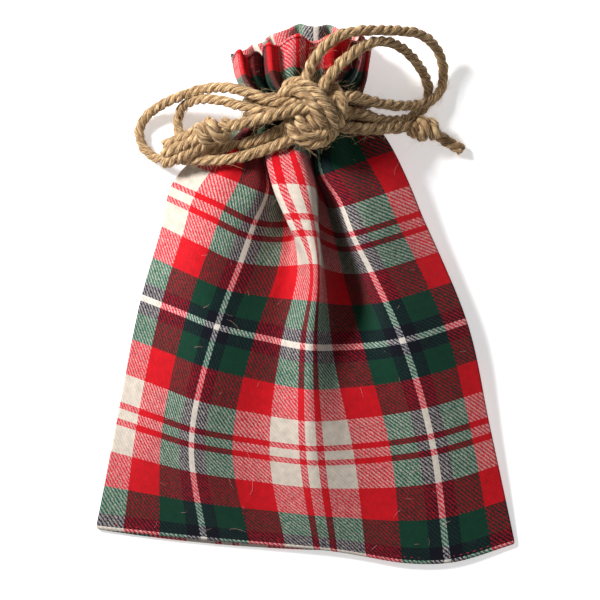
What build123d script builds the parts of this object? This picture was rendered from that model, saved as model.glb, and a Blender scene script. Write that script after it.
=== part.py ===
"""Gift sack of plaid flannel, lying on its back, its neck tied round with a doubled jute cord.

Units are millimetres. +X runs to the right across the sack, +Y from its bottom seam to its ruffled
mouth and +Z up from the surface that it lies on. The origin is the bottom centre of the sack's box.
The cloth parts are plain shells, as thick as the gathered cloth that they stand for.
"""

from build123d import *
import math
import os

os.makedirs("parts", exist_ok=True)

# Cloth shells
CLOTH = 1.5
BOTTOM_Y = -106.0
BOTTOM_SKEW = -4.2  # degrees: the bottom seam runs down to the right
BOTTOM_HEIGHT = 5.0
FOLD_Y = 50.0  # the line where the neck folds up from the sack
FOLD_HEIGHT = 24.0
WIDEST = 0.38  # height of a section's widest line, as a share of the section's height

# y, left edge and right edge of the sack, from below its slanting bottom up to the fold line
BODY_EDGES = [(-114.0, -91.4, 89.0), (-60.0, -81.5, 80.5), (0.0, -68.0, 65.0), (FOLD_Y, -57.0, 44.3)]

# Neck and ruffle
NECK_X = 1.2
NECK_Z = 14.6
NECK_HALF_WIDTH = 22.4
NECK_HALF_HEIGHT = 9.0
NECK_START_Y = 72.0
NECK_END_Y = 86.0
RIM_X = -1.5
RIM_HALF_WIDTH = 29.5
RIM_FRONT = (101.0, 32.0)  # y and z of the mouth's front edge
RIM_BACK = (112.4, 3.0)  # y and z of its back edge
HEM_DEPTH = 7.0
FOLD_AXIS_Z = 1.0
FOLD_HALF_GAP = 16.0  # degrees each side of the fold line
FOLD_CLEARANCE = 1.0

# Seam allowances inside the sack
ALLOWANCE_WIDTH = 6.0
ALLOWANCE_THICKNESS = 0.8
ALLOWANCE_INSET = 2.0
ALLOWANCE_EDGES = [(-88.0, -86.6, 84.9), (-60.0, -81.5, 80.5), (0.0, -68.0, 65.0), (40.0, -59.2, 48.4)]

# Jute cord
CORD = 5.0
CLEAR = 0.3
WRAP_YS = {"neck_wrap_lower": 75.5, "neck_wrap_upper": 81.5}
WRAP_RADIUS = NECK_HALF_HEIGHT + CLEAR + CORD / 2
WRAP_HALF_FLAT = NECK_HALF_WIDTH - NECK_HALF_HEIGHT

# Knots: centre, radius and height of each rounded drum
BOW_KNOT = ((5.4, 79.5, 32.0), 12.0, 15.6)
LEFT_END_KNOT = ((-42.0, 66.5, 26.6), 7.2, 12.0)
RIGHT_END_KNOT = ((50.0, 71.6, 7.2), 6.4, 12.0)
DRUM_ROUNDING = 0.42  # as a share of the drum's height

LEFT_LOOP_OUTER = [
    (-9.8, 83.5, 31.8), (-20.5, 86.6, 30.5), (-31.5, 89.6, 24.5), (-43, 89.8, 15.5),
    (-54, 86, 9.5), (-64.5, 81.8, 4.6), (-70.6, 73.5, 2.8), (-69.5, 63.8, 3),
    (-62.5, 58, 7), (-52.5, 56.3, 16.5), (-41.5, 55.8, 24.5), (-30, 59.4, 27), (-20, 63, 28),
    (-9.8, 66.5, 29),
]
LEFT_LOOP_INNER = [
    (-9.8, 78, 31.8), (-20, 79.3, 30.6), (-30, 81.4, 24.5), (-40, 83.6, 15), (-48.5, 83, 7.5),
    (-54.5, 78, 3.3), (-55.5, 71, 2.8), (-51.5, 66, 5), (-44.5, 64, 11.6), (-36, 64, 18.6),
    (-27.5, 65.6, 24.6), (-18.5, 68.8, 28), (-9.8, 72.5, 31),
]
LEFT_TAIL = [(-9.8, 75.5, 37.2), (-18, 73.6, 36), (-27, 71, 32.2), (-36, 68.5, 28.2), (-42, 66.5, 26.6)]
LEFT_CUT_END = [(-42, 66.5, 26.6), (-50, 63.4, 22), (-59, 61, 17)]
RIGHT_LOOP_OUTER = [
    (6.6, 102, 36.5), (11, 109.5, 37.5), (20, 113.8, 35), (31, 113, 27.5), (42, 114, 18),
    (51.5, 111, 9), (57.5, 103.5, 3.5), (58.8, 94.5, 3), (56, 86.5, 7.5), (48.5, 82.5, 12),
    (39.5, 82.5, 17.5), (31, 83.5, 24), (20.5, 84.5, 31),
]
RIGHT_LOOP_INNER = [
    (11.5, 95.8, 34.5), (16.5, 101.5, 36), (24.5, 105.5, 30.5), (34, 107.8, 21.5),
    (43, 104.5, 12), (50.5, 96.5, 4.5), (51.5, 87.5, 2.8), (47.5, 80.5, 4), (39, 78, 13),
    (31.5, 77.8, 21.5), (24.5, 78.4, 28),
]
RIGHT_TAIL = [(19.5, 73.5, 30.5), (28, 72.5, 26), (36.5, 72, 18.5), (43.5, 72.2, 11), (50, 71.6, 7.2)]
RIGHT_CUT_END = [(50, 71.6, 7.2), (57, 67.5, 4.6), (65.3, 62.3, 3)]


def cross_section(y, left, right, mid_z, half_height):
    """An upright ellipse across the sack, as a function of the wall that is taken off it."""
    plane = Plane(origin=((left + right) / 2, y, mid_z), x_dir=(1, 0, 0), z_dir=(0, -1, 0))
    return lambda wall: plane * Ellipse((right - left) / 2 - wall, half_height - wall)


def body_height(y):
    """The sack's height, which changes evenly from its bottom to the fold line."""
    share = (y - BOTTOM_Y) / (FOLD_Y - BOTTOM_Y)
    return BOTTOM_HEIGHT + share * (FOLD_HEIGHT - BOTTOM_HEIGHT)


def body_section(y, left, right):
    height = body_height(y)
    return cross_section(y, left, right, WIDEST * height, (1 - WIDEST) * height)


def neck_section(y):
    left, right = NECK_X - NECK_HALF_WIDTH, NECK_X + NECK_HALF_WIDTH
    return cross_section(y, left, right, NECK_Z, NECK_HALF_HEIGHT)


def rim_plane(offset=0.0):
    """The slanted plane of the mouth, moved along the sack's length by an offset."""
    (front_y, front_z), (back_y, back_z) = RIM_FRONT, RIM_BACK
    lean = (back_y - front_y) / (front_z - back_z)
    origin = (RIM_X, (front_y + back_y) / 2 + offset, (front_z + back_z) / 2)
    return Plane(origin=origin, x_dir=(1, 0, 0), z_dir=(0, -1, -lean))


def rim_section(wall):
    half_height = math.dist(RIM_FRONT, RIM_BACK) / 2
    return rim_plane() * Ellipse(RIM_HALF_WIDTH - wall, half_height - wall)


def above(z):
    return Pos(0, 0, z + 100) * Box(400, 400, 200)


def past_bottom(wall):
    """Everything up the sack from its slanting bottom, less a wall."""
    return Pos(0, BOTTOM_Y + wall, 0) * Rot(0, 0, BOTTOM_SKEW) * Pos(0, 150, 0) * Box(400, 300, 200)


def cloth_tube():
    """The whole sack as one shell: closed at its bottom, flat underneath and open at its mouth."""
    sections = [body_section(*edges) for edges in BODY_EDGES]
    sections += [neck_section(NECK_START_Y), neck_section(NECK_END_Y), rim_section]
    outer = loft([section(0.0) for section in sections], ruled=True)
    inner = loft([section(CLOTH) for section in sections], ruled=True)
    return (outer & above(0) & past_bottom(0)) - (inner & above(CLOTH) & past_bottom(2 * CLOTH))


def cut(shape, plane):
    """The two sides of a shape: the side that the plane's normal points to, and the other."""
    return split(shape, bisect_by=plane, keep=Keep.TOP), split(shape, bisect_by=plane, keep=Keep.BOTTOM)


def fold_plane(side):
    """One face of the wedge-shaped gap at the fold line: -1 is the sack's side, 1 the neck's."""
    angle = math.radians(FOLD_HALF_GAP)
    origin = (0, FOLD_Y + side * FOLD_CLEARANCE, FOLD_AXIS_Z)
    return Plane(origin=origin, x_dir=(1, 0, 0), z_dir=(0, math.cos(angle), -side * math.sin(angle)))


def cloth_parts():
    tube = cloth_tube()
    body = cut(tube, fold_plane(-1))[1]
    neck = cut(tube, fold_plane(1))[0]
    rise = WIDEST * (FOLD_HEIGHT - BOTTOM_HEIGHT) / (FOLD_Y - BOTTOM_Y)
    seam_line = Plane(origin=(0, BOTTOM_Y, WIDEST * BOTTOM_HEIGHT), x_dir=(1, 0, 0), z_dir=(0, -rise, 1))
    neck_line = Plane(origin=(0, 0, NECK_Z))
    neck, hem = cut(neck, rim_plane(-HEM_DEPTH))
    names = [("front_panel", "back_panel"), ("front_neck", "back_neck"), ("front_hem", "back_hem")]
    parts = {}
    for pair, shell, plane in zip(names, [body, neck, hem], [seam_line, neck_line, neck_line]):
        parts |= dict(zip(pair, cut(shell, plane)))
    return parts


def side_allowance(side):
    """The doubled cloth inside one side seam: 0 is the left seam and 1 the right."""
    strips = []
    inward = 1 - 2 * side
    for y, *edges in ALLOWANCE_EDGES:
        z = WIDEST * body_height(y)
        x = edges[side] + inward * (CLOTH + ALLOWANCE_INSET + ALLOWANCE_WIDTH / 2)
        plane = Plane(origin=(x, y, z), x_dir=(1, 0, 0), z_dir=(0, -1, 0))
        strips.append(plane * Rectangle(ALLOWANCE_WIDTH, ALLOWANCE_THICKNESS))
    return loft(strips, ruled=True)


def bottom_allowance():
    y = BOTTOM_Y + 2 * CLOTH + ALLOWANCE_INSET + ALLOWANCE_WIDTH / 2
    place = Pos(0, y, CLOTH + CLEAR + ALLOWANCE_THICKNESS / 2) * Rot(0, 0, BOTTOM_SKEW)
    return place * Box(130, ALLOWANCE_WIDTH, ALLOWANCE_THICKNESS)


def cord(name, points):
    """A plain tube along straight runs joined by arcs, each as large as its two runs allow."""
    points = [Vector(*p) for p in points]
    radii = []
    for before, here, after in zip(points, points[1:], points[2:]):
        run = min((here - before).length, (after - here).length)
        turn = math.radians((here - before).get_angle(after - here))
        radii.append(0.45 * run / math.tan(turn / 2))
    path = FilletPolyline(*points, radius=radii)
    tube = sweep((path ^ 0) * Circle(CORD / 2), path=path)
    plain = math.pi * (CORD / 2) ** 2 * path.length
    print(name, "length", round(path.length, 1), "volume share", round(tube.volume / plain, 4))
    print("   radii", [round(r, 1) for r in radii])
    return tube


def wrap_route(y):
    """Once round the neck, from the bow knot's right side under the neck to its left side."""
    reach = WRAP_RADIUS / math.cos(math.pi / 8)
    turns = [math.radians(a) for a in (67.5, 22.5, -22.5, -67.5)]
    ends = [(WRAP_HALF_FLAT + reach * math.cos(a), reach * math.sin(a)) for a in turns]
    right = [(NECK_X + x, y, NECK_Z + z) for x, z in ends]
    left = [(NECK_X - x, y, NECK_Z + z) for x, z in reversed(ends)]
    top = NECK_Z + WRAP_RADIUS
    return [(BOW_KNOT[0][0], y, top), *right, *left, (BOW_KNOT[0][0] - 1, y, top)]


def drum(centre, radius, height):
    """A knot's plain outer shape."""
    body = Cylinder(radius, height)
    return Pos(*centre) * fillet(body.edges(), DRUM_ROUNDING * height)


def cord_parts():
    bow, left_end, right_end = drum(*BOW_KNOT), drum(*LEFT_END_KNOT), drum(*RIGHT_END_KNOT)
    parts = {"bow_knot": bow, "left_end_knot": left_end, "right_end_knot": right_end}
    for name, y in WRAP_YS.items():
        parts[name] = cord(name, wrap_route(y)) - bow
    free = {
        "left_loop_outer": LEFT_LOOP_OUTER,
        "left_loop_inner": LEFT_LOOP_INNER,
        "right_loop_outer": RIGHT_LOOP_OUTER,
        "right_loop_inner": RIGHT_LOOP_INNER,
    }
    parts |= {name: cord(name, route) for name, route in free.items()}
    parts["left_tail"] = cord("left_tail", LEFT_TAIL) - left_end
    parts["left_cut_end"] = cord("left_cut_end", LEFT_CUT_END) - left_end
    parts["right_tail"] = cord("right_tail", RIGHT_TAIL) - right_end
    parts["right_cut_end"] = cord("right_cut_end", RIGHT_CUT_END) - right_end
    return parts


def seam_parts():
    return {
        "left_seam": side_allowance(0),
        "right_seam": side_allowance(1),
        "bottom_seam": bottom_allowance(),
    }


for node, shape in (cloth_parts() | seam_parts() | cord_parts()).items():
    export_step(shape, f"parts/{node}.step")
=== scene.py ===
"""Gift sack of plaid flannel, tied round its neck with jute: everything that shows, in metres.

Routes and stations are written in millimetres and turned into metres by MM. +X runs to the right
across the sack, +Y from its bottom seam to its ruffled mouth and +Z up from the floor.
"""

import math

import bpy
import numpy as np
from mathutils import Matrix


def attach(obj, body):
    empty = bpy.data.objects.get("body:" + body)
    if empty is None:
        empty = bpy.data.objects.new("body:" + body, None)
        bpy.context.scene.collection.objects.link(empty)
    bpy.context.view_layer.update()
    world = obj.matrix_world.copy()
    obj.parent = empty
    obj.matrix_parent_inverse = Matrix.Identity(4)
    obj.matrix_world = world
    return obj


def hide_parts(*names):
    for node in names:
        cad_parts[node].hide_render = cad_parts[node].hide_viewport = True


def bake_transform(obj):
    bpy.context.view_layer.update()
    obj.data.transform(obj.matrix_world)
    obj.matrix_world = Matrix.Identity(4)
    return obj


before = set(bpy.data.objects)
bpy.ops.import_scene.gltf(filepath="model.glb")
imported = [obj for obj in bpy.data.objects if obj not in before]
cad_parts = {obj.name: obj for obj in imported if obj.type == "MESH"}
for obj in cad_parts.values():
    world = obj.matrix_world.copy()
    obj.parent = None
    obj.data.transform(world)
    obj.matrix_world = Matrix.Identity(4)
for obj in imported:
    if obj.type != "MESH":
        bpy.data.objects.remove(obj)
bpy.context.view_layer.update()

MM = 0.001

# Cord
CORD = 5.0 * MM
LAY = 13.0 * MM  # length in which a strand of the cord goes once round
STRAND_SHARE = 0.255  # a strand's radius as a share of the cord's diameter
STRANDS = 3
STRAND_GROOVE = 1.15 * MM  # way round a strand, from its outer side, to where its neighbour shades it
RING = 14  # vertices round a strand
FIBRE_RING = 4
RIDGE = 0.07  # how uneven a strand is round itself, as a share of its radius
RIDGE_ROWS = 6  # rings of a strand from one random height to the next
WOBBLE = 0.08  # radians by which the lay wanders from one ring to the next
LOOP_TIGHT = 0.13  # how much thinner the cord is pulled in the middle of a loop, as a share
LOOSE_FIBRES = 4.0  # for each millimetre of cord
WRAP_FIBRES, KNOT_FIBRES, CUT_END_FIBRES = 2.0, 3.5, 7.0
STANDING_FIBRES = 0.22  # share of the loose fibres that stand off the cord
SHORTEST_FIBRE, LONGEST_FIBRE = 1.2, 6.5
STANDING_LIFT, LYING_LIFT = (0.4, 1.1), (0.02, 0.25)  # how far a fibre leans out, as a slope
FIBRE_ROOT = 0.46  # where fibres leave the cord, from its middle, as a share of its diameter
FIBRE_THICK, FIBRE_THIN = 0.05 * MM, 0.02 * MM  # radius at its root and at its tip
FIBRE_LOWEST = 0.2 * MM  # above the floor
FIBRE_POINTS, LINT_POINTS = 7, 6  # along each one
STEP = 0.6 * MM  # spacing of a strand's rings
FEWEST_POINTS = 8  # of any line
JUTE_RELIEF = 0.7 * MM

# Cloth
FLAT_WIDTH = 178.0  # width of a panel, seam to seam
FLAT_LENGTH = 219.0  # length of the back panel, bottom seam to mouth
FRONT_LENGTH = 213.0  # the front panel is gathered a little further down
TIE = 185.0  # where the cord ties it, up from the bottom seam
GRID = 2.0  # spacing of the cloth's vertices
CLOTH_THICKNESS = 0.7 * MM
PLEAT = 17.3  # flat length of one gathered pleat
PLEAT_DEPTH = 3.6  # half its height, where it is deepest
PLEAT_CREST = -17.0  # where one pleat has its crest, across a panel
GATHER_START = 138.0  # how far up the pleats begin
GATHER_EASE = 1.6  # the power by which they deepen towards the tie
MOUTH_SHALLOWER = 0.15  # how much of that depth they lose again at the mouth, as a share
MOUTH_LEAN = 0.35  # how far a crest leans out of the mouth, as a share of its height
LOBE = 27.0  # flat length of one lobe of the mouth, where pleats have run together
LOBE_CREST = -23.0  # where one lobe has its crest, across a panel
LOBE_ROUNDNESS, LOBE_LIFT = 0.6, 0.25  # rounder below 1, and raised by that share of the depth
EDGE_SHARPNESS = 14  # the power by which pleats fade out at a side seam
CREASE = 0.9  # height of the shallow creases
EDGE_CALM = 18.0  # how near a seam the shallow creases fade out
SKIN = 0.9  # height of the lowest cloth above the floor

# Weave: width of each coloured stripe from one white stripe's middle to the next
YARN = 0.477 * MM
YARN_WANDER = 0.35 * YARN
TWILL_REPEAT = 4.0  # yarns
FLANNEL_RELIEF = 0.06 * MM
WARP_STRIPES = [
    ("white", 1.35), ("navy", 5.6), ("green", 12.0), ("red", 15.4), ("cream", 12.0), ("red", 3.0),
    ("cream", 4.3), ("red", 3.0), ("cream", 12.0), ("red", 15.4), ("green", 12.0), ("navy", 5.6),
    ("white", 1.35),
]
WEFT_SHARE = 0.893  # the stripes are that much narrower along the sack
WARP_START, BACK_WARP_START = -43.1, 18.0  # where a white stripe runs, across each panel
WEFT_START = 0.0  # and how far up both
COLOURS = {  # sRGB
    "white": (224, 215, 204),
    "cream": (205, 192, 178),
    "red": (194, 12, 28),
    "green": (7, 57, 41),
    "navy": (9, 12, 27),
    "thread": (150, 20, 34),
    "jute": (182, 144, 100),
    "jute_dark": (96, 65, 40),
    "jute_painted_shade": (80, 55, 33),
    "jute_pale": (232, 202, 154),
    "floor": (246, 246, 246),
}


def linear(name):
    """A named colour as the renderer wants it."""
    return tuple((c / 255) ** 2.2 for c in COLOURS[name]) + (1.0,)


# ---------------------------------------------------------------- camera

CAMERA_X, CAMERA_Y = -2.3 * MM, -1.0 * MM
CAMERA_HEIGHT = 0.709  # it looks straight down
LENS, SENSOR_WIDTH = 100, 36  # millimetres


def make_camera():
    data = bpy.data.cameras.new("camera")
    data.lens = LENS
    data.sensor_width = SENSOR_WIDTH
    camera = bpy.data.objects.new("camera", data)
    camera.location = (CAMERA_X, CAMERA_Y, CAMERA_HEIGHT)
    bpy.context.scene.collection.objects.link(camera)
    bpy.context.scene.camera = camera


make_camera()


# ---------------------------------------------------------------- meshes

def mesh_piece(name, vertices, faces, material, uvs=None, uv_name=""):
    """A smooth mesh object. uvs holds one pair for each vertex."""
    mesh = bpy.data.meshes.new(name)
    mesh.from_pydata([tuple(v) for v in vertices], [], [tuple(f) for f in faces])
    mesh.materials.append(material)
    mesh.polygons.foreach_set("use_smooth", [True] * len(mesh.polygons))
    if uvs is not None:
        corners = np.zeros(len(mesh.loops), np.int32)
        mesh.loops.foreach_get("vertex_index", corners)
        layer = mesh.uv_layers.new(name=uv_name)
        layer.data.foreach_set("uv", np.asarray(uvs, np.float32)[corners].ravel())
    piece = bpy.data.objects.new(name, mesh)
    bpy.context.scene.collection.objects.link(piece)
    return piece


# ---------------------------------------------------------------- materials

class Nodes:
    """A material's node tree, with short calls for the nodes that are used here."""

    def __init__(self, name):
        self.material = bpy.data.materials.new(name)
        self.material.use_nodes = True
        self.tree = self.material.node_tree
        self.shader = self.tree.nodes["Principled BSDF"]

    def add(self, kind, inputs=(), **settings):
        node = self.tree.nodes.new(kind)
        for key, value in settings.items():
            setattr(node, key, value)
        for socket, value in dict(inputs).items():
            self.put(node.inputs[socket], value)
        return node

    def put(self, socket, value):
        if isinstance(value, bpy.types.NodeSocket):
            self.tree.links.new(value, socket)
        else:
            socket.default_value = value

    def math(self, operation, a, b=0.0):
        return self.add("ShaderNodeMath", {0: a, 1: b}, operation=operation).outputs[0]

    def uv(self, layer):
        """The two coordinates of a UV layer, in metres."""
        node = self.add("ShaderNodeUVMap", uv_map=layer)
        split = self.add("ShaderNodeSeparateXYZ", {0: node.outputs[0]})
        return split.outputs[0], split.outputs[1]

    def vector(self, x, y, z=0.0):
        return self.add("ShaderNodeCombineXYZ", {0: x, 1: y, 2: z}).outputs[0]

    def noise(self, vector, scale, detail=2.0):
        inputs = {"Vector": vector, "Scale": scale, "Detail": detail}
        return self.add("ShaderNodeTexNoise", inputs).outputs[0]

    def mix(self, factor, a, b, blend="MIX"):
        node = self.add("ShaderNodeMix", {"Factor": factor}, data_type="RGBA", blend_type=blend)
        self.put(node.inputs[6], a)
        self.put(node.inputs[7], b)
        return node.outputs[2]

    def spread(self, value, low, high, to_low=0.0, to_high=1.0):
        """A value's range from low to high, stretched to another range."""
        inputs = {"Value": value, 1: low, 2: high, 3: to_low, 4: to_high}
        return self.add("ShaderNodeMapRange", inputs).outputs[0]

    def colour(self, value):
        self.put(self.shader.inputs["Base Color"], value)

    def relief(self, height, distance):
        bump = self.add("ShaderNodeBump", {"Height": height, "Distance": distance})
        self.put(self.shader.inputs["Normal"], bump.outputs[0])

    def finish(self, **settings):
        """Set the shader's own sockets, which are named with _ for each space."""
        for name, value in settings.items():
            self.shader.inputs[name.replace("_", " ")].default_value = value
        return self.material


def stripe_colour(nodes, coordinate, start, share):
    """The colour of the yarn that lies at a coordinate, from the stripes' repeat."""
    total = sum(width for _, width in WARP_STRIPES)
    repeat = total * share * MM
    shifted = nodes.math("SUBTRACT", coordinate, start * MM)
    place = nodes.math("FRACT", nodes.math("DIVIDE", shifted, repeat))
    ramp = nodes.add("ShaderNodeValToRGB", {0: place})
    ramp.color_ramp.interpolation = "CONSTANT"
    elements = ramp.color_ramp.elements
    elements.remove(elements[1])
    done = 0.0
    for i, (colour, width) in enumerate(WARP_STRIPES):
        element = elements[0] if i == 0 else elements.new(done / total)
        element.color = linear(colour)
        done += width
    return ramp.outputs[0]


def flannel(name, warp_start):
    """Brushed twill: warp over two weft yarns and under two, stepping one yarn at a time."""
    nodes = Nodes(name)
    u, v = nodes.uv("cloth")
    place = nodes.vector(u, v)
    wander = nodes.spread(nodes.noise(place, 900.0), 0.3, 0.7, -YARN_WANDER, YARN_WANDER)
    across = nodes.math("FLOOR", nodes.math("DIVIDE", nodes.math("ADD", u, wander), YARN))
    along = nodes.math("FLOOR", nodes.math("DIVIDE", nodes.math("ADD", v, wander), YARN))
    step = nodes.math("DIVIDE", nodes.math("ADD", across, along), TWILL_REPEAT)
    warp_on_top = nodes.math("LESS_THAN", nodes.math("FRACT", step), 0.49)
    warp = stripe_colour(nodes, u, warp_start, 1.0)
    weft = stripe_colour(nodes, v, WEFT_START, WEFT_SHARE)
    woven = nodes.mix(warp_on_top, weft, warp)
    # Brushing draws the crossing yarns' fibres into each other.
    both = nodes.mix(1.0, warp, weft, "MULTIPLY")
    blended = nodes.add("ShaderNodeGamma", {0: both, 1: 0.5}).outputs[0]
    drawn = nodes.spread(nodes.noise(place, 1300.0), 0.3, 0.7, 0.25, 0.85)
    napped = nodes.mix(drawn, woven, blended)
    # The nap lies this way and that, in patches a few millimetres wide.
    shade = nodes.spread(nodes.noise(place, 320.0, 4.0), 0.25, 0.75, 0.8, 1.1)
    grey = nodes.add("ShaderNodeCombineColor", {0: shade, 1: shade, 2: shade}).outputs[0]
    tinted = nodes.mix(1.0, napped, grey, "MULTIPLY")
    # Pale fibres lie over the yarns here and there, along the sack rather than across it.
    streaks = nodes.noise(nodes.vector(u, nodes.math("MULTIPLY", v, 0.35)), 2400.0)
    fibres = nodes.spread(streaks, 0.68, 0.85, 0.0, 0.12)
    nodes.colour(nodes.mix(fibres, tinted, linear("cream")))
    # Each yarn is a rib, the warp's only where it is on top.
    yarn_u = nodes.math("SINE", nodes.math("MULTIPLY", u, 2 * math.pi / YARN))
    yarn_v = nodes.math("SINE", nodes.math("MULTIPLY", v, 2 * math.pi / YARN))
    warp_ribs = nodes.math("MULTIPLY", warp_on_top, yarn_u)
    ribs = nodes.math("ADD", warp_ribs, nodes.math("MULTIPLY", yarn_v, 0.5))
    nap = nodes.math("MULTIPLY", nodes.noise(place, 1200.0, 3.0), 2.0)
    nodes.relief(nodes.math("ADD", ribs, nap), FLANNEL_RELIEF)
    return nodes.finish(Roughness=0.95, Specular_IOR_Level=0.15, Sheen_Weight=0.06, Sheen_Roughness=0.6)


def jute(name):
    """Twisted jute: streaks of dark and pale fibre along each strand, with painted shade between
    strands.
    """
    nodes = Nodes(name)
    s, around = nodes.uv("cord")
    streak = nodes.noise(nodes.vector(nodes.math("MULTIPLY", s, 0.12), around), 3000.0, 3.0)
    patch = nodes.noise(nodes.vector(s, nodes.math("MULTIPLY", around, 0.5)), 230.0, 2.0)
    body = nodes.mix(nodes.spread(streak, 0.38, 0.54), linear("jute_dark"), linear("jute"))
    pale = nodes.mix(nodes.spread(streak, 0.5, 0.62), body, linear("jute_pale"))
    colour = nodes.mix(nodes.spread(patch, 0.4, 0.7, 0.0, 0.25), pale, linear("jute"))
    # Painted shade: each strand darkens towards its sides, where its neighbours would shade it.
    painted_groove_shade = nodes.spread(around, STRAND_GROOVE, 2 * STRAND_GROOVE, 0.0, 0.7)
    nodes.colour(nodes.mix(painted_groove_shade, colour, linear("jute_painted_shade")))
    nodes.relief(streak, JUTE_RELIEF)
    return nodes.finish(Roughness=0.75, Specular_IOR_Level=0.3, Sheen_Weight=0.1)


def two_tone(name, scale, colours, roughness):
    """Fine fibre or thread that wanders between two colours along its length."""
    nodes = Nodes(name)
    s, around = nodes.uv("cord")
    tone = nodes.noise(nodes.vector(s, around), scale)
    nodes.colour(nodes.mix(tone, linear(colours[0]), linear(colours[1])))
    return nodes.finish(Roughness=roughness)


THREAD = two_tone("sewing_thread", 2500.0, ("red", "thread"), 0.6)
LINT_FIBRE = two_tone("lint_fibre", 400.0, ("red", "white"), 0.8)
JUTE = jute("jute_cord")
FIBRE = two_tone("jute_fibre", 60.0, ("jute", "jute_pale"), 0.7)
FRONT_FLANNEL = flannel("front_flannel", WARP_START)
BACK_FLANNEL = flannel("back_flannel", BACK_WARP_START)


# ---------------------------------------------------------------- rope

def route_line(route):
    """Points along the smooth NURBS curve that has a route, in millimetres, as control points."""
    data = bpy.data.curves.new("route", "CURVE")
    data.dimensions = "3D"
    spline = data.splines.new("NURBS")
    spline.points.add(len(route) - 1)
    for point, (x, y, z) in zip(spline.points, route):
        point.co = (x * MM, y * MM, z * MM, 1)
    spline.order_u = 3
    spline.use_endpoint_u = True
    spline.resolution_u = 16
    curve = bpy.data.objects.new("route", data)
    mesh = bpy.data.meshes.new_from_object(curve)
    line = np.array([v.co for v in mesh.vertices], float)
    bpy.data.meshes.remove(mesh)
    bpy.data.objects.remove(curve)
    bpy.data.curves.remove(data)
    return line


def evenly(line, step):
    """The same line with points a step apart, and the distance of each along it."""
    lengths = np.linalg.norm(np.diff(line, axis=0), axis=1)
    distance = np.concatenate([[0.0], np.cumsum(lengths)])
    count = max(FEWEST_POINTS, int(round(distance[-1] / step)) + 1)
    at = np.linspace(0.0, distance[-1], count)
    return np.stack([np.interp(at, distance, line[:, i]) for i in range(3)], axis=1), at


def unit(vectors):
    return vectors / np.linalg.norm(vectors, axis=-1, keepdims=True)


def side_vectors(line):
    """Two directions across a line at each point, carried along it without twisting."""
    tangents = unit(np.gradient(line, axis=0))
    across = np.zeros_like(line)
    start = np.array([0.0, 0.0, 1.0]) if abs(tangents[0][2]) < 0.9 else np.array([1.0, 0.0, 0.0])
    across[0] = unit(start - tangents[0] * (start @ tangents[0]))
    for i in range(1, len(line)):
        carried = across[i - 1] - tangents[i] * (across[i - 1] @ tangents[i])
        across[i] = unit(carried)
    return across, np.cross(tangents, across)


def tube_arrays(line, radii, outward, at, ends=True):
    """Vertices, faces and UVs of a tube round a line, its first vertex on the outward side.

    radii has a row for each point of the line and a column for each vertex round it.
    """
    ring = radii.shape[1]
    tangents = unit(np.gradient(line, axis=0))
    out = unit(outward - tangents * np.sum(outward * tangents, axis=1, keepdims=True))
    side = np.cross(tangents, out)
    angles = np.linspace(0, 2 * math.pi, ring, endpoint=False)
    cosines, sines = np.cos(angles)[None, :, None], np.sin(angles)[None, :, None]
    spokes = cosines * out[:, None] + sines * side[:, None]
    vertices = (line[:, None] + radii[:, :, None] * spokes).reshape(-1, 3)
    around = np.minimum(angles, 2 * math.pi - angles)
    uvs = np.stack([np.repeat(at, ring), np.tile(around, len(line)) * radii.mean()], axis=1)
    faces = []
    for i in range(len(line) - 1):
        for j in range(ring):
            k = (j + 1) % ring
            faces.append((i * ring + j, i * ring + k, (i + 1) * ring + k, (i + 1) * ring + j))
    if ends:
        faces.append(tuple(reversed(range(ring))))
        faces.append(tuple((len(line) - 1) * ring + j for j in range(ring)))
    return vertices, faces, uvs


class Builder:
    """Gathers the vertices, faces and UVs of several tubes into one mesh."""

    def __init__(self):
        self.vertices, self.faces, self.uvs = [], [], []
        self.count = 0

    def add(self, vertices, faces, uvs):
        base = self.count
        self.count += len(vertices)
        self.vertices.append(vertices)
        self.uvs.append(uvs)
        self.faces += [tuple(i + base for i in face) for face in faces]

    def piece(self, name, material):
        vertices, uvs = np.concatenate(self.vertices), np.concatenate(self.uvs)
        return mesh_piece(name, vertices, self.faces, material, uvs, "cord")


def fibre_ridges(count, rng):
    """Uneven ridges along a strand, as its fibres make: a factor for each of its vertices."""
    knots = max(3, count // RIDGE_ROWS)
    heights = rng.normal(0, RIDGE, (knots, RING))
    at = np.linspace(0, knots - 1, count)
    return 1 + np.stack([np.interp(at, np.arange(knots), column) for column in heights.T], axis=1)


def add_strands(builder, line, at, diameter, rng):
    """Three left-handed strands round a line. diameter has a value for each of its points."""
    across, other = side_vectors(line)
    offset = diameter[:, None] * (0.5 - STRAND_SHARE)
    start = rng.uniform(0, 2 * math.pi)
    wobble = np.cumsum(rng.normal(0, WOBBLE, len(line)))
    for k in range(STRANDS):
        angle = start + 2 * math.pi * k / STRANDS - 2 * math.pi * at / LAY + wobble
        out = np.cos(angle)[:, None] * across + np.sin(angle)[:, None] * other
        # Each strand swells and thins along the rope, in its own places.
        swell = 1 + 0.09 * np.sin(at / (4.1 * MM) + k * 2.1) + 0.06 * np.sin(at / (1.7 * MM) + k)
        radii = (diameter * STRAND_SHARE * swell)[:, None] * fibre_ridges(len(line), rng)
        builder.add(*tube_arrays(line + out * offset, radii, out, at + k * 0.3))


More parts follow.
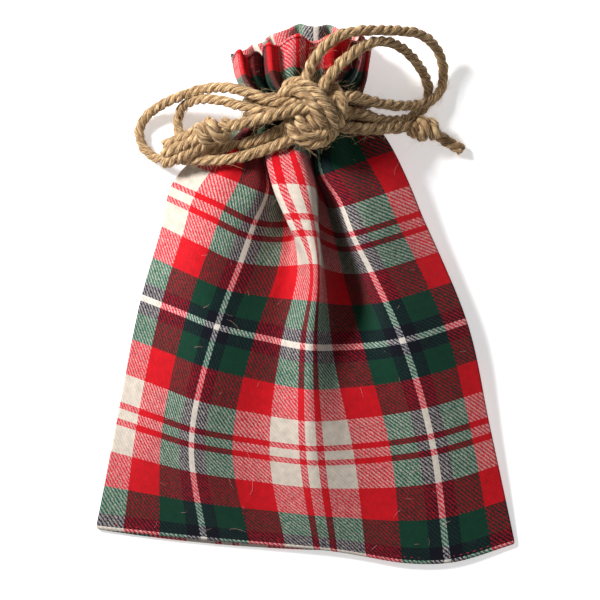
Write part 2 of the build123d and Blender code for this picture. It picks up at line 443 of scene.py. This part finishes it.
def add_fibres(builder, line, count, rng):
    """Fine loose fibres: most lie along the cord, some stand off it and curl back."""
    across, other = side_vectors(line)
    tangents = unit(np.gradient(line, axis=0))
    t = np.linspace(0, 1, FIBRE_POINTS)[:, None]
    for _ in range(count):
        i = rng.integers(2, len(line) - 2)
        angle = rng.uniform(0, 2 * math.pi)
        out = math.cos(angle) * across[i] + math.sin(angle) * other[i]
        stands = rng.random() < STANDING_FIBRES
        length = min(rng.gamma(2.2, 1.5) + SHORTEST_FIBRE, LONGEST_FIBRE) * MM
        lift = rng.uniform(*(STANDING_LIFT if stands else LYING_LIFT))
        heading = unit(out * lift + tangents[i] * rng.choice([-1, 1]) + rng.normal(0, 0.22, 3))
        curl = np.clip(rng.normal(0, 0.5, 3), -0.8, 0.8) - 0.35 * out
        path = line[i] + out * CORD * FIBRE_ROOT + length * (t * heading + t * t * curl)
        path[:, 2] = np.maximum(path[:, 2], FIBRE_LOWEST)
        taper = np.linspace(FIBRE_THICK, FIBRE_THIN, len(path))[:, None]
        radii = np.repeat(taper, FIBRE_RING, axis=1)
        outward = np.tile(np.cross(heading, [0.31, 0.52, 0.79]), (len(path), 1))
        builder.add(*tube_arrays(path, radii, outward, t[:, 0] * length, ends=False))


SEEDS = iter(range(101, 400))  # one for each rope's route and each panel's lint, in turn


def rope(name, routes, fibres_per_mm=LOOSE_FIBRES, tight=0.0):
    """A rope along one route or several, and its loose fibres, as two pieces, and the last line.

    tight is how much thinner the rope is pulled in the middle of its length, as a share.
    """
    strands, fibres = Builder(), Builder()
    for route in routes:
        rng = np.random.default_rng(next(SEEDS))
        line, at = evenly(route_line(route), STEP)
        thickness = CORD * (1 - tight * np.clip(np.sin(np.pi * at / at[-1]), 0, 1) ** 0.7)
        add_strands(strands, line, at, thickness, rng)
        add_fibres(fibres, line, int(at[-1] / MM * fibres_per_mm), rng)
    return strands.piece(name, JUTE), fibres.piece(name + "_fibres", FIBRE), line, at[-1]


# ---------------------------------------------------------------- cord routes

LEFT_LOOP_OUTER = [
    (2, 78.5, 32), (-5, 79.5, 33), (-14, 79.5, 33), (-25, 84.4, 29.5), (-36, 87, 22.5),
    (-47, 86, 14), (-60.1, 82, 6.5), (-69.5, 75.5, 3), (-71, 67, 2.8), (-65, 58.8, 4.5),
    (-55, 57.5, 13.5), (-43, 56.6, 22), (-31.3, 56.4, 25.5), (-21.6, 58.8, 27), (-13, 61.8, 28),
    (-4, 65.5, 30.5), (3, 69, 31),
]
LEFT_LOOP_INNER = [
    (1, 76, 32), (-8, 74, 32), (-16.6, 75.3, 31.5), (-26.2, 78.2, 28.5), (-37, 81.8, 22),
    (-47, 83, 12.5), (-53, 79.5, 5.5), (-54.3, 74, 3), (-53, 67.5, 3.2), (-48, 62.5, 8.5),
    (-40, 61.4, 16), (-30, 62.2, 22.5), (-20, 64.2, 27), (-10, 68.2, 29.5), (-1, 72.5, 31),
]
LEFT_TAIL = [
    (4.6, 76, 36.4), (-1.5, 76.2, 37), (-8.2, 75, 37.2), (-15, 73, 36.8), (-22.5, 71.2, 35),
    (-30, 69.6, 31), (-38.4, 69, 27),
]
LEFT_CUT_END = [(-38.4, 68.4, 26.4), (-43.5, 65.2, 25), (-50.5, 62, 21.5), (-58.8, 59.4, 16.5)]
RIGHT_LOOP_OUTER = [
    (2.5, 80, 32), (0, 86, 34.5), (1, 92, 36), (5, 98.5, 37.5), (12.5, 106, 37.5),
    (23.5, 108.2, 35), (37.8, 109.4, 27), (49, 109.5, 18), (56.5, 103.5, 9), (58.8, 94.4, 3.8),
    (57, 86, 4.2), (50.5, 81.6, 8), (41, 79.6, 14.5), (29, 80, 22.5), (19.5, 82.6, 29.5),
    (11, 80.4, 33), (3, 77, 32.5),
]
RIGHT_LOOP_INNER = [
    (3.5, 78, 32), (5.5, 83.2, 34.5), (9, 88.5, 35.5), (14, 94.6, 35.5), (21.5, 101, 35),
    (30, 105.2, 30), (39.5, 103.8, 22), (47.5, 97.5, 12), (51.8, 91, 4.8), (52.4, 84, 3),
    (48, 77.2, 5.5), (38, 73.4, 13), (28.9, 74, 20.5), (19, 75.6, 27), (11, 76.8, 31), (3, 75, 32),
]
RIGHT_TAIL = [
    (2, 71.5, 32), (8, 70.2, 32.5), (14, 69.6, 30.5), (21.5, 69.2, 26), (30, 69.6, 20.5),
    (39.5, 71, 13.5), (49.3, 73, 7.4),
]
RIGHT_CUT_END = [(49.3, 73, 7.4), (54.8, 69.3, 5), (60.8, 65.6, 3.4), (66.2, 62.4, 2.9)]
LEFT_ENDS = [(-3.6, -0.6), (0.2, 1.2), (3.8, -0.8)]  # its three parts' places beside it, in y and z
# Start and end of each end knot's coil, its radius and its turns
LEFT_END_KNOT = ((-31, 69.6, 30.6), (-45, 65.4, 25), 3.6, 2.8)
RIGHT_END_KNOT = ((44.5, 71.9, 10.4), (54.5, 70, 6.6), 3.5, 2.4)
NECK_X, NECK_Z = 1.2, 14.6  # the neck's middle
WRAP_RADIUS, WRAP_HALF_FLAT = 11.8, 13.4  # a turn's round ends, and half the flat between them
WRAP_YS = {"neck_wrap_lower": 75.5, "neck_wrap_upper": 81.5}
STOPPER_POINTS = 9  # of its route, for each turn
STOPPER_OPENS = 7  # a stopper knot reaches its full radius a seventh of its length in
KNOT_X = 5.4  # the bow knot's middle, where the turns start and end
BOW_KNOT = [
    [(-12, 79, 28), (-9.5, 83, 32.5), (-5, 84.4, 36), (-1, 82.4, 38), (2, 79, 38.8),
     (4.6, 75.4, 38.3), (6.3, 71.6, 36.3), (7.3, 68, 32.5), (7.2, 66, 27)],
    [(-9, 86, 26), (-6, 87.6, 31), (-1.5, 87, 35.5), (2.4, 84.4, 38), (5.8, 80.8, 38.8),
     (8.7, 77, 38.2), (10.8, 73.2, 36), (11.6, 69.6, 32.4), (11, 67, 27)],
    [(-8, 78.5, 30), (-7.6, 73.5, 33), (-5.8, 68.6, 34), (-2.6, 64.4, 33.5), (2, 62.4, 32.5),
     (7, 63, 31.5), (10.6, 66.2, 30.5), (12, 70.5, 29)],
    [(-3.5, 79, 33), (-3.2, 74, 36), (-1.6, 69.4, 36.2), (1.6, 66.4, 35.4), (5.4, 66, 34),
     (9, 68.4, 32), (10, 73, 31)],
    [(2, 77, 33.5), (2.2, 73, 36), (2.6, 69.5, 35.8), (3.2, 66, 33.5), (3.6, 63.5, 30)],
    [(8, 88, 27), (12, 85.4, 31), (14.4, 80.6, 33), (15, 75.4, 33), (13.8, 70.6, 31), (11, 67, 28)],
    [(-6, 84, 28.5), (2, 86, 29.5), (10, 84, 29.5), (14.5, 78, 29.5), (12.5, 71, 28.5), (5, 67, 28),
     (-3, 70, 28.5), (-6.5, 77, 28.5)],
    [(-2, 80, 31.5), (4, 81.5, 32.5), (9.5, 77.5, 32.5), (6, 72.5, 32.5), (-1, 74.5, 32.5)],
]


def wrap_route(y):
    """Once round the neck, from the bow knot's right side under the neck to its left side."""
    # Each side of the neck is round, so its control points are corners of an octagon outside it.
    reach = WRAP_RADIUS / math.cos(math.pi / 8)
    turns = [math.radians(a) for a in (67.5, 22.5, -22.5, -67.5)]
    ends = [(WRAP_HALF_FLAT + reach * math.cos(a), reach * math.sin(a)) for a in turns]
    right = [(NECK_X + x, y, NECK_Z + z) for x, z in ends]
    left = [(NECK_X - x, y, NECK_Z + z) for x, z in reversed(ends)]
    top = NECK_Z + WRAP_RADIUS
    return [(KNOT_X, y, top), *right, *left, (KNOT_X - 1, y, top)]


def stopper(start, end, radius, turns):
    """The route of a stopper knot: cord wound round a line, from the line and back to it."""
    start, end = np.array(start, float), np.array(end, float)
    sides, ups = side_vectors(np.array([start, end]))
    route = []
    for t in np.linspace(0, 1, int(STOPPER_POINTS * turns) + 1):
        swell = radius * min(1, STOPPER_OPENS * t, STOPPER_OPENS * (1 - t))
        angle = 2 * math.pi * turns * t
        around = math.cos(angle) * sides[0] + math.sin(angle) * ups[0]
        route.append(tuple(start + (end - start) * t + around * swell))
    return route


def place(piece, fibres, body, node):
    """A rope and its fibres ride on a body, and the rope stands for a CAD node."""
    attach(piece, body)
    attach(fibres, body)
    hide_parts(node)


def bend_at_root(piece, fibres, node):
    """A loop and its fibres, fixed where they are made, and the loop stands for a CAD node."""
    for part in (piece, fibres):
        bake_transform(part)
    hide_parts(node)


def millimetres(*point):
    return tuple(c * MM for c in point)


def make_loops():
    """The bow's four strands, two on each side of the knot."""
    left = (millimetres(-3, 76.5, 30.5), millimetres(-15, 76.5, 30.5))
    right = (millimetres(10.9, 83.8, 33), millimetres(21.8, 92.5, 33))
    loops = [
        ("left_loop_outer", LEFT_LOOP_OUTER, "left_loops", left),
        ("left_loop_inner", LEFT_LOOP_INNER, "left_loops", left),
        ("right_loop_outer", RIGHT_LOOP_OUTER, "right_loops", right),
        ("right_loop_inner", RIGHT_LOOP_INNER, "right_loops", right),
    ]
    for node, route, body, (start, end) in loops:
        piece, fibres, line, length = rope(node + "_rope", [route], tight=LOOP_TIGHT)
        bend_at_root(piece, fibres, node)


def make_wraps():
    """The cord's two turns round the gathered neck."""
    for node, y in WRAP_YS.items():
        piece, fibres, line, length = rope(node + "_rope", [wrap_route(y)], WRAP_FIBRES)
        place(piece, fibres, "gathered_neck", node)


def fixed_rope(node, body, routes, fibres_per_mm):
    """A knot or a cut end, which isn't declared as a cord of its own."""
    piece, fibres, _, _ = rope(node + "_cord", routes, fibres_per_mm)
    place(piece, fibres, body, node)
    return [piece, fibres]


def make_tail(side, tail_route, end_routes, knot_route):
    """A tail with its end knot and its cut end, which are pulled out together."""
    body = side + "_pull"
    knot = fixed_rope(side + "_end_knot", body, [knot_route], KNOT_FIBRES)
    end = fixed_rope(side + "_cut_end", body, end_routes, CUT_END_FIBRES)
    tail, tail_fibres, line, length = rope(side + "_tail_rope", [tail_route])
    place(tail, tail_fibres, body, side + "_tail")


make_loops()
make_wraps()
fixed_rope("bow_knot", "gathered_neck", BOW_KNOT, KNOT_FIBRES)
left_ends = [[(x, y + dy, z + dz) for x, y, z in LEFT_CUT_END] for dy, dz in LEFT_ENDS]
make_tail("left", LEFT_TAIL, left_ends, stopper(*LEFT_END_KNOT))
make_tail("right", RIGHT_TAIL, [RIGHT_CUT_END], stopper(*RIGHT_END_KNOT))


# ---------------------------------------------------------------- cloth

# Stations across a flat panel, from its left seam to its right, and the wide ones among them
ACROSS = [-89, -66, -43.1, -24.6, -14, -6, 1, 8.4, 17, 25, 41.3, 59.8, 89]
ACROSS_WIDE = [-89, -43.1, 8.4, 59.8, 89]

# Levels up a panel: distance from its bottom seam, then x, y and z across it. x and z have a
# value for each station and y for each wide one. The tuck beside the middle ridge turns x back.
# BACK_Z has only z, at the wide stations, and takes x and y from the front's side seams.
FRONT = [
    (0, [-89, -66, -43.1, -24.6, -14, -6, 1, 8.4, 17, 25, 41.3, 60, 89],
     [-98.2, -102.5, -107, -112.5, -104.5],
     [1.3, 2.4, 3, 3, 3, 3, 3, 3, 3, 3, 3, 2.4, 1.3]),
    (46, [-79, -62.5, -47.8, -31.5, -20.5, -12.5, -5, 2.5, 11.5, 19.5, 36, 53, 78],
     [-48.8, -58.5, -66, -61.6, -55],
     [5, 10, 12, 10, 9, 9.5, 11, 13.5, 12, 10, 8.5, 10.5, 5]),
    (92, [-69, -52, -37, -22, -13.5, -8.5, -4, 1.5, 6.5, 10.5, 24.5, 40, 67.8],
     [0, -12.2, -20.5, -18, -10],
     [8, 15, 18, 15, 13, 14, 18, 23, 20, 15, 12.5, 17, 8]),
    (125, [-59.7, -42, -26.5, -11.5, -5.5, -2, 0, 3.8, 5.8, 7, 15.5, 26, 55],
     [32, 16.5, 16, 12.5, 21],
     [9, 21.5, 19.5, 12, 10.5, 16, 26, 31, 28, 15, 5, 20, 9]),
    (140, [-56.5, -37, -21.8, -10, -5.5, -6.3, -7.4, 0, 4.6, 5.2, 12.5, 19.6, 49],
     [46.5, 30, 31.5, 25, 34],
     [10, 21.5, 18, 8, 6, 15, 27, 31.5, 28, 12, 3, 22, 10]),
    (155, [-48, -30, -16, -11.5, -9, -12, -14, -6, 2.6, 4.6, 8.5, 14.2, 43],
     [57, 44.6, 48, 39, 48.5],
     [11, 21.5, 17.5, 8, 6, 15, 26, 31, 28, 13, 3.5, 21, 11]),
    (172, [-34, -25, -17.5, -14, -12, -13.5, -15, -8.5, -3, 1.5, 3.5, 5.2, 33.5],
     [68, 63, 66, 57, 66.5],
     [13, 23, 18, 12, 10, 17, 23, 26, 24, 16, 10, 20, 13]),
    (185, [-21, -16, -12, -8.5, -6, -4.5, -3, -1, 1, 3, 6, 10, 23.5],
     [79, 79, 79, 79, 79],
     [14.6, 17.5, 18.4, 18.6, 18.8, 19, 19, 19, 19, 18.8, 18.6, 18.2, 14.6]),
    (199, [-28, -23, -17.5, -14.5, -12, -9, -5, -1.5, 2.5, 6.5, 15.5, 20.5, 25.5],
     [89.5, 89, 91.5, 91.5, 92],
     [14.8, 28, 20, 26, 30, 28, 28, 29, 28, 26, 27, 20, 14.8]),
    (213, [-30.5, -25, -18.5, -16, -13, -10.5, -5.5, -1.5, 3, 8, 18.5, 23.5, 27],
     [99, 99, 104, 104.5, 104],
     [15, 31, 22, 29, 34, 32, 33, 34, 33, 32, 32, 24, 14]),
]
BACK_Z = [
    (0, [1.3, SKIN, SKIN, SKIN, 1.3]),
    (46, [5, SKIN, SKIN, SKIN, 5]),
    (92, [8, SKIN, SKIN, SKIN, 8]),
    (125, [9, SKIN, SKIN, SKIN, 9]),
    (140, [10, 1.4, SKIN, 1.4, 10]),
    (155, [11, 3, 1.6, 3, 11]),
    (172, [13, 7, 5.5, 7, 13]),
    (185, [14.6, 10.6, 10.2, 10.6, 14.6]),
    (199, [14.8, 9.6, 8.5, 9.6, 14.8]),
]
BACK_MOUTH = (
    219, [-31, -26, -20.5, -15, -11.5, -8, -4.5, -1, 3.5, 7.5, 14, 20, 27.5],
    [100.5, 105.5, 113.5, 110, 105],
    [15, 10.5, 9, 8, 8, 8, 8, 8, 8, 8, 8.5, 10, 14],
)


def smooth_through(at, known, values):
    """A smooth curve through values at known places, read at other places, column by column."""
    known, values = np.asarray(known, float), np.asarray(values, float)
    slopes = np.gradient(values, known, axis=0)
    i = np.clip(np.searchsorted(known, at, side="right") - 1, 0, len(known) - 2)
    width = (known[i + 1] - known[i])[:, None]
    t = ((at - known[i]) / (known[i + 1] - known[i]))[:, None]
    a, b = values[i], values[i + 1]
    sa, sb = slopes[i] * width, slopes[i + 1] * width
    return (
        a * (2 * t**3 - 3 * t**2 + 1) + sa * (t**3 - 2 * t**2 + t) + b * (3 * t**2 - 2 * t**3)
        + sb * (t**3 - t**2)
    )


def at_stations(values):
    """Values at the wide stations, read at every station."""
    column = np.asarray(values, float)[:, None]
    return smooth_through(np.asarray(ACROSS, float), ACROSS_WIDE, column)[:, 0]


def front_levels():
    """The front panel's levels, with y at every station."""
    return [(up, x, at_stations(y), z) for up, x, y, z in FRONT]


def back_levels():
    """The back panel runs evenly between the front panel's two side seams."""
    share = (np.array(ACROSS) + FLAT_WIDTH / 2) / FLAT_WIDTH
    levels = []
    for (up, z), (_, x, y, _) in zip(BACK_Z, FRONT):
        sag = y[2] - (y[0] + y[-1]) / 2
        xs = x[0] + share * (x[-1] - x[0])
        ys = y[0] + share * (y[-1] - y[0]) + 4 * share * (1 - share) * sag
        levels.append((up, xs, ys, at_stations(z)))
    up, x, y, z = BACK_MOUTH
    levels.append((up, x, at_stations(y), z))
    return levels


def gathered(u, v, top):
    """Height of the small pleats that the cord gathers: none low down, most above the tie."""
    below = np.clip((v - GATHER_START) / (TIE - GATHER_START), 0, 1) ** GATHER_EASE
    above = np.clip((v - TIE) / (top - TIE), 0, 1)
    depth = PLEAT_DEPTH * below * (1 - MOUTH_SHALLOWER * above)
    edge = 1 - (np.abs(u) / (FLAT_WIDTH / 2)) ** EDGE_SHARPNESS
    phase = 2 * math.pi * (u - PLEAT_CREST) / PLEAT + 0.5 * np.sin(u / 13.0 + 1.3)
    wave = np.cos(phase)
    # Towards the mouth they run together into fewer lobes, round on top, with narrow valleys.
    lobes = np.cos(2 * math.pi * (u - LOBE_CREST) / LOBE)
    puffed = np.sign(lobes) * np.abs(lobes) ** LOBE_ROUNDNESS + LOBE_LIFT
    return depth * edge * (wave + above * (puffed - wave)) * (1 + 0.2 * np.sin(u / 7.0))


def creases(u, v):
    """Shallow creases that the cloth keeps all over, deeper along the sack than across it."""
    long = np.sin(u / 6.3 + 0.9 * np.sin(v / 31.0)) * np.sin(v / 47.0 + 1.1)
    slant = np.sin((u + 0.8 * v) / 14.0) * np.sin((0.6 * u - v) / 25.0 + 0.4)
    return CREASE * (0.45 * long + 0.8 * slant)


def panel_points(levels, top, side):
    """A grid of points on a panel, in millimetres, and their places on the flat cloth."""
    u = np.linspace(-FLAT_WIDTH / 2, FLAT_WIDTH / 2, int(round(FLAT_WIDTH / GRID)) + 1)
    v = np.linspace(0, top, int(round(top / GRID)) + 1)
    known = [level[0] for level in levels]
    lines = np.stack([smooth_through(v, known, [level[i] for level in levels]) for i in (1, 2, 3)], -1)
    grid = np.stack([smooth_through(u, ACROSS, row) for row in lines])
    uu, vv = np.meshgrid(u, v)
    pleats = gathered(uu, vv, top)
    near_edge = np.clip((FLAT_WIDTH / 2 - np.abs(uu)) / EDGE_CALM, 0, 1) * np.clip(vv / EDGE_CALM, 0, 1)
    grid[..., 2] += side * pleats + creases(uu, vv) * near_edge * (side > 0)
    grid[..., 1] += np.clip((vv - TIE) / (top - TIE), 0, 1) * pleats * MOUTH_LEAN
    grid[..., 2] = np.maximum(grid[..., 2], SKIN)
    return grid, np.stack([uu, vv], -1)


def grid_faces(rows, columns, flip):
    """The quads of a grid whose points are in rows, turned over if flip says so."""
    faces = []
    for i in range(rows - 1):
        for j in range(columns - 1):
            a, b = i * columns + j, i * columns + j + 1
            quad = (a, b, b + columns, a + columns)
            faces.append(quad[::-1] if flip else quad)
    return faces


def cloth_piece(name, grid, flat, material, flip):
    """A panel as a smooth thick sheet."""
    rows, columns = grid.shape[:2]
    faces = grid_faces(rows, columns, flip)
    points = grid.reshape(-1, 3) * MM
    piece = mesh_piece(name, points, faces, material, flat.reshape(-1, 2) * MM, "cloth")
    subdivide = piece.modifiers.new("smooth", "SUBSURF")
    subdivide.levels = subdivide.render_levels = 1
    solid = piece.modifiers.new("thickness", "SOLIDIFY")
    solid.thickness = CLOTH_THICKNESS
    solid.offset = 0.0
    return piece


HEM = 7.0  # depth of the turned-in hem at the mouth
HEM_GAP = 1.25  # from the panel's middle to the hem's
HEM_STITCH = 6.0  # the hem's stitches, down from the mouth
HEM_LIFT, SEAM_LIFT = 0.55, 0.45  # how far a stitch arches over its cloth
STITCH = 2.2  # length of thread that shows
STITCH_PITCH = 3.0
STITCH_STEP = 0.25  # spacing of the thread's rings
STITCH_RADIUS, STITCH_RING = 0.16 * MM, 6
ALLOWANCE = 6.0  # width of a seam's allowance
ALLOWANCE_TOP = 140.0  # how far up the side seams' allowances run
ALLOWANCE_STEP = 1.5
SEAM_INSET = 1.2
SIDE_START, BOTTOM_START = 2, 4  # rows and columns of the grid that the allowances leave out
LINT = {"front": 90, "back": 70}
LINT_RADII = (0.025, 0.045)
LINT_LOWEST = 0.15 * MM


def hang_on(piece, body, slot, *nodes):
    """A piece rides on a body and stands for any CAD nodes named. slot is not used."""
    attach(piece, body)
    if nodes:
        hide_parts(*nodes)


def grid_normals(grid):
    """Unit normals of a grid of points, upwards where the grid lies flat."""
    return unit(np.cross(np.gradient(grid, axis=1), np.gradient(grid, axis=0)))


def hem_piece(name, grid, flat, side, material):
    """The turned-in edge of the mouth: round over the rim and down inside it."""
    inward = -side * grid_normals(grid)
    out_of_mouth = unit(grid[-1] - grid[-2])
    rows = int(round(HEM / GRID))
    # For each row: rows down from the rim, distance inside the panel, distance past the rim
    section = [(0, -0.45, -0.2), (0, -0.15, 0.55), (0, 0.55, 0.75), (0, 1.15, 0.3)]
    section += [(i, HEM_GAP, 0.0) for i in range(1, rows + 1)]
    points, places = [], []
    for i, inset, beyond in section:
        points.append(grid[-1 - i] + inward[-1 - i] * inset + out_of_mouth * beyond)
        places.append(flat[-1] + [0, GRID * i + inset])
    return cloth_piece(name, np.stack(points), np.stack(places), material, side > 0)


def stitch_row(name, grid, row, side, lift):
    """A row of running stitches that lies on a grid's outer side."""
    line, at = evenly(grid[row] * MM, STITCH_STEP * MM)
    normals = side * grid_normals(grid)[row]
    across = np.linspace(0, 1, len(line)) * (len(normals) - 1)
    out = np.stack([np.interp(across, np.arange(len(normals)), normals[:, i]) for i in range(3)], 1)
    per_stitch = int(STITCH_PITCH / STITCH_STEP)
    length = int(STITCH / STITCH_STEP)
    builder = Builder()
    for start in range(0, len(line) - length, per_stitch):
        part = slice(start, start + length)
        arch = lift * np.sin(np.linspace(0.15, math.pi - 0.15, length))[:, None] * MM
        radii = np.full((length, STITCH_RING), STITCH_RADIUS)
        builder.add(*tube_arrays(line[part] + unit(out[part]) * arch, radii, out[part], at[part]))
    return builder.piece(name, THREAD)


def lint_piece(name, grid, side, count):
    """Short stray fibres that cling to the brushed cloth."""
    rng = np.random.default_rng(next(SEEDS))
    normals = side * grid_normals(grid)
    builder = Builder()
    t = np.linspace(0, 1, LINT_POINTS)[:, None]
    for _ in range(count):
        i, j = rng.integers(2, grid.shape[0] - 2), rng.integers(2, grid.shape[1] - 2)
        out = normals[i, j]
        heading = unit(np.cross(out, rng.normal(0, 1, 3)))
        bend = np.cross(out, heading) * rng.normal(0, 0.5)
        length = rng.gamma(2.0, 0.9) + 0.6
        stand = 0.42 + 0.5 * np.sin(t * math.pi) * rng.uniform(0.2, 1)
        path = (grid[i, j] + out * stand + length * (t * heading + t * t * bend)) * MM
        path[:, 2] = np.maximum(path[:, 2], LINT_LOWEST)
        radii = np.full((len(path), FIBRE_RING), rng.uniform(*LINT_RADII) * MM)
        outward = np.tile(out, (len(path), 1))
        builder.add(*tube_arrays(path, radii, outward, t[:, 0] * length * MM, ends=False))
    return builder.piece(name, LINT_FIBRE)


def make_cloth():
    """Both panels, each with its hem, stitches and lint, and the seams inside the sack."""
    for name, levels, top, side, material in [
        ("front", front_levels(), FRONT_LENGTH, 1, FRONT_FLANNEL),
        ("back", back_levels(), FLAT_LENGTH, -1, BACK_FLANNEL),
    ]:
        grid, flat = panel_points(levels, top, side)
        piece = cloth_piece(name + "_cloth", grid, flat, material, flip=side < 0)
        hem = hem_piece(name + "_turned_hem", grid, flat, side, material)
        row = -1 - int(HEM_STITCH / GRID)
        stitches = stitch_row(name + "_hem_stitches", grid, row, side, HEM_LIFT)
        hang_on(hem, "gathered_neck", "plaid_flannel", name + "_hem")
        hang_on(stitches, "gathered_neck", "plaid_flannel")
        lint = lint_piece(name + "_lint", grid, side, LINT[name])
        for soft in (piece, lint):
            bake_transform(soft)
        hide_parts(name + "_panel", name + "_neck")
        if side > 0:
            make_allowances(grid, flat)


def allowance(name, edge, inward, places, node):
    """A seam's raw allowance: a strip that stands inside the sack along one of its edges."""
    rows = np.arange(0, ALLOWANCE + 0.1, ALLOWANCE_STEP)
    ripple = 0.35 * np.sin(np.arange(len(edge)) / 2.3)
    points = np.stack([edge + inward * s + [0, 0, 1] * ripple[:, None] * s / ALLOWANCE for s in rows])
    flat = np.stack([places + [s, s] for s in rows])
    strip = cloth_piece(name, points, flat, FRONT_FLANNEL, False)
    stitches = stitch_row(name + "_stitches", points, 1, 1, SEAM_LIFT)
    hang_on(strip, "sack_body", "plaid_flannel", node)
    hang_on(stitches, "sack_body", "plaid_flannel")


def make_allowances(grid, flat):
    """The three seams inside the sack: its two sides, up to where it gathers, and its bottom."""
    up_to = int(ALLOWANCE_TOP / GRID)
    inside = np.array([0.0, 1.0, 0.05])
    for side, column, direction in [("left", 0, 1), ("right", -1, -1)]:
        inward = np.array([direction, 0.0, 0.0])
        part = slice(SIDE_START, up_to)
        edge = grid[part, column] + inward * SEAM_INSET
        allowance(side + "_allowance", edge, inward, flat[part, column], side + "_seam")
    part = slice(BOTTOM_START, -BOTTOM_START)
    edge = grid[0, part] + inside * SEAM_INSET
    allowance("bottom_allowance", edge, inside, flat[0, part], "bottom_seam")


make_cloth()


# ---------------------------------------------------------------- floor and light

WHITE = (1, 1, 1, 1)
FLOOR = 3.0  # half the floor's width
GLOW = 0.42
AMBIENT = 0.17
# Places in metres, and powers in watts
KEY_LIGHT = {"location": (-0.55, 0.42, 0.5), "size": 0.2, "power": 12.9}
FILL_LIGHT = {"location": (0.4, -0.5, 0.9), "size": 0.8, "power": 1.5}


def area_light(name, location, size, power):
    """A square lamp that points at the origin."""
    data = bpy.data.lights.new(name, "AREA")
    data.size = size
    data.energy = power
    light = bpy.data.objects.new(name, data)
    light.location = location
    direction = -np.array(location)
    yaw = math.atan2(direction[1], direction[0])
    lean = math.acos(-direction[2] / np.linalg.norm(direction))
    light.rotation_euler = (0, -lean, yaw)
    bpy.context.scene.collection.objects.link(light)


def paper(name):
    """The white floor. It glows a little, so that it stays nearly white in the sack's shadow."""
    nodes = Nodes(name)
    nodes.colour(linear("floor"))
    return nodes.finish(Roughness=0.9, Emission_Color=WHITE, Emission_Strength=GLOW)


def make_stage():
    """The pale floor, the even light of the studio and its two lamps."""
    corners = [(-FLOOR, -FLOOR, 0), (FLOOR, -FLOOR, 0), (FLOOR, FLOOR, 0), (-FLOOR, FLOOR, 0)]
    mesh_piece("floor", corners, [(0, 1, 2, 3)], paper("floor"))
    world = bpy.data.worlds.new("studio")
    world.use_nodes = True
    background = world.node_tree.nodes["Background"]
    background.inputs["Color"].default_value = WHITE
    background.inputs["Strength"].default_value = AMBIENT
    bpy.context.scene.world = world
    area_light("key_light", **KEY_LIGHT)
    area_light("fill_light", **FILL_LIGHT)
    bpy.context.scene.view_settings.view_transform = "Standard"


make_stage()
